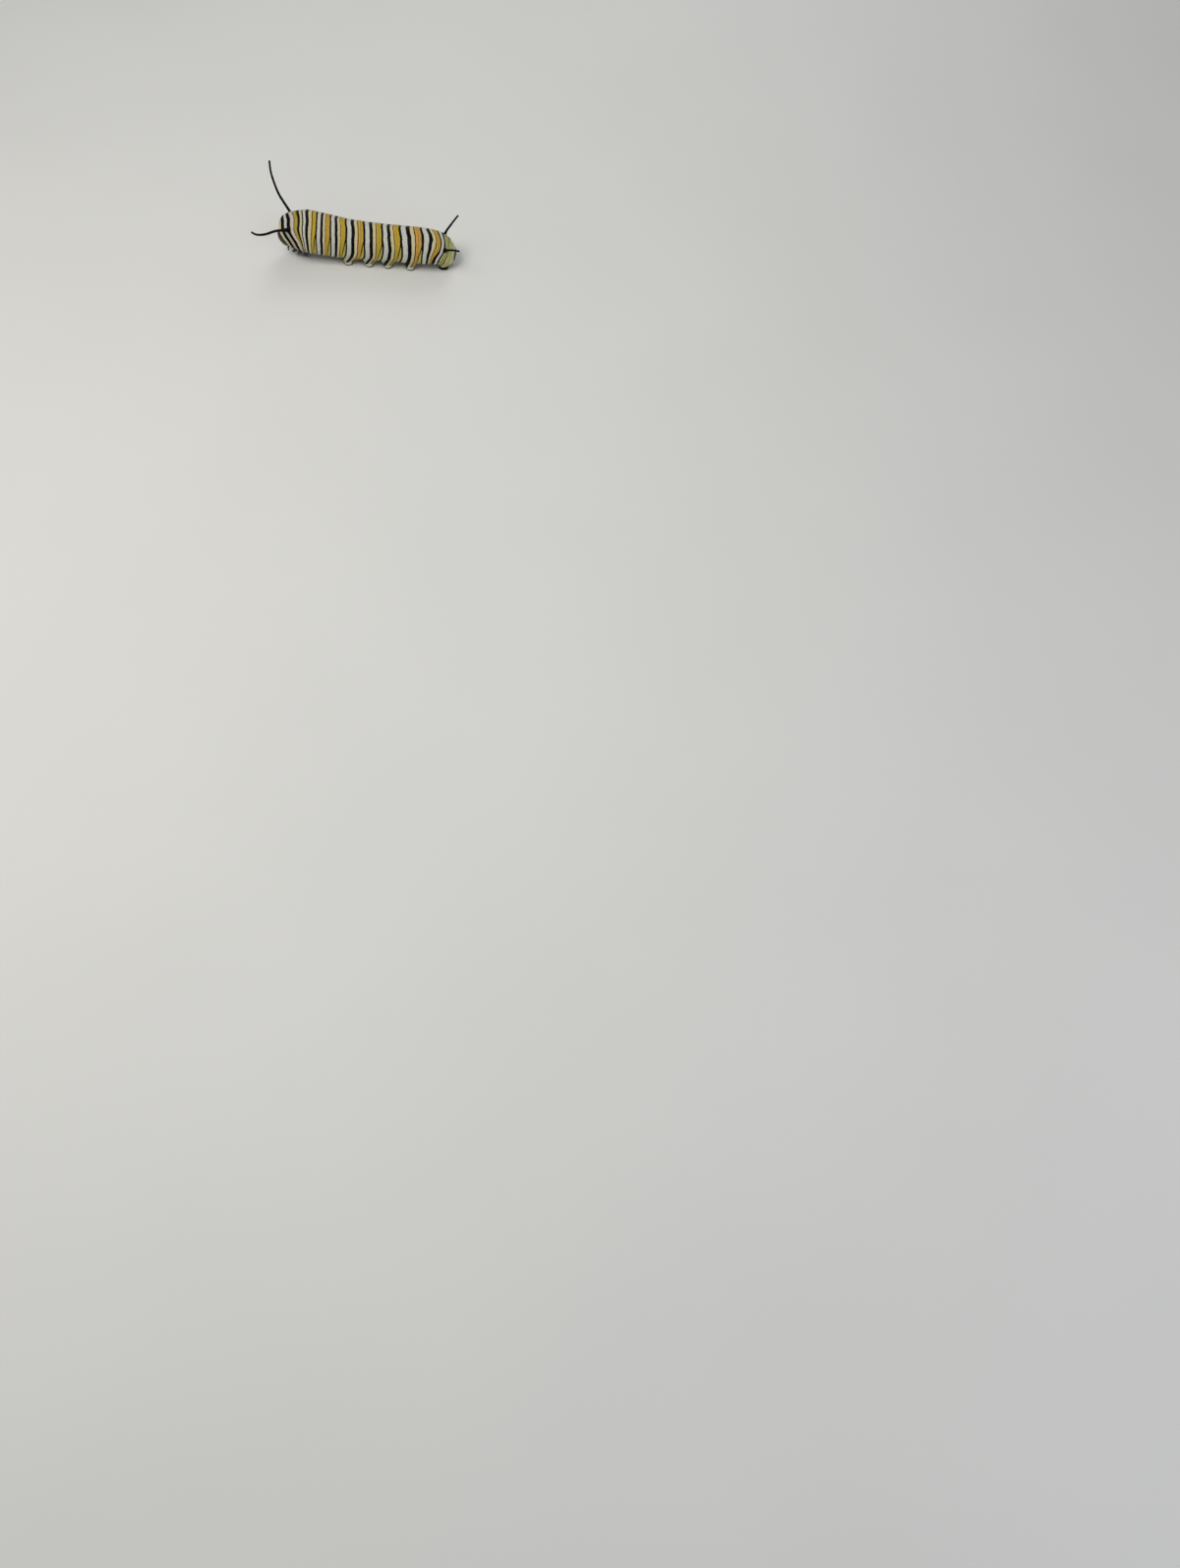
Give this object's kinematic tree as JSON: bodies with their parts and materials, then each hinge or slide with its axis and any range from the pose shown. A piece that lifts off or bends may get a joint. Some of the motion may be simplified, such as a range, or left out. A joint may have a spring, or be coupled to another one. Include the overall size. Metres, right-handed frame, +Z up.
{
  "type": "monarch butterfly larva",
  "caption": "Full-grown monarch butterfly larva at rest, banded in white, black and yellow, head tucked down, thin black filaments raised at both ends",
  "frame": {"origin": "under the middle of the bounding box, on the floor the feet stand on", "axes": "+X from the head to the tail, +Y to the larva's right side, +Z up"},
  "size_m": [0.04, 0.0164, 0.0168],
  "materials": {
    "skin_banded": "soft skin with white, black and yellow bands, slight gloss",
    "skin_black": "soft black skin, slight gloss",
    "head_shell": "smooth hard shell, black with pale arches",
    "horn_black": "smooth black horn"
  },
  "bodies": {
    "root": {"prothorax": "skin_banded", "mesothorax": "skin_banded", "metathorax": "skin_banded", "abdomen_1": "skin_banded", "abdomen_2": "skin_banded", "abdomen_3": "skin_banded", "abdomen_4": "skin_banded", "abdomen_5": "skin_banded", "abdomen_6": "skin_banded", "abdomen_7": "skin_banded", "abdomen_8": "skin_banded", "tail": "skin_banded", "head": "head_shell", "leg_1_left": "horn_black", "leg_2_left": "horn_black", "leg_3_left": "horn_black", "proleg_3_left": "skin_banded", "proleg_4_left": "skin_banded", "proleg_5_left": "skin_banded", "proleg_6_left": "skin_banded", "clasper_left": "skin_banded", "leg_1_right": "horn_black", "leg_2_right": "horn_black", "leg_3_right": "horn_black", "proleg_3_right": "skin_banded", "proleg_4_right": "skin_banded", "proleg_5_right": "skin_banded", "proleg_6_right": "skin_banded", "clasper_right": "skin_banded", "filament_front_left": "skin_black", "filament_front_right": "skin_black", "filament_rear_left": "skin_black", "filament_rear_right": "skin_black", "antenna_left": "horn_black", "antenna_right": "horn_black"}
  },
  "joints": []
}
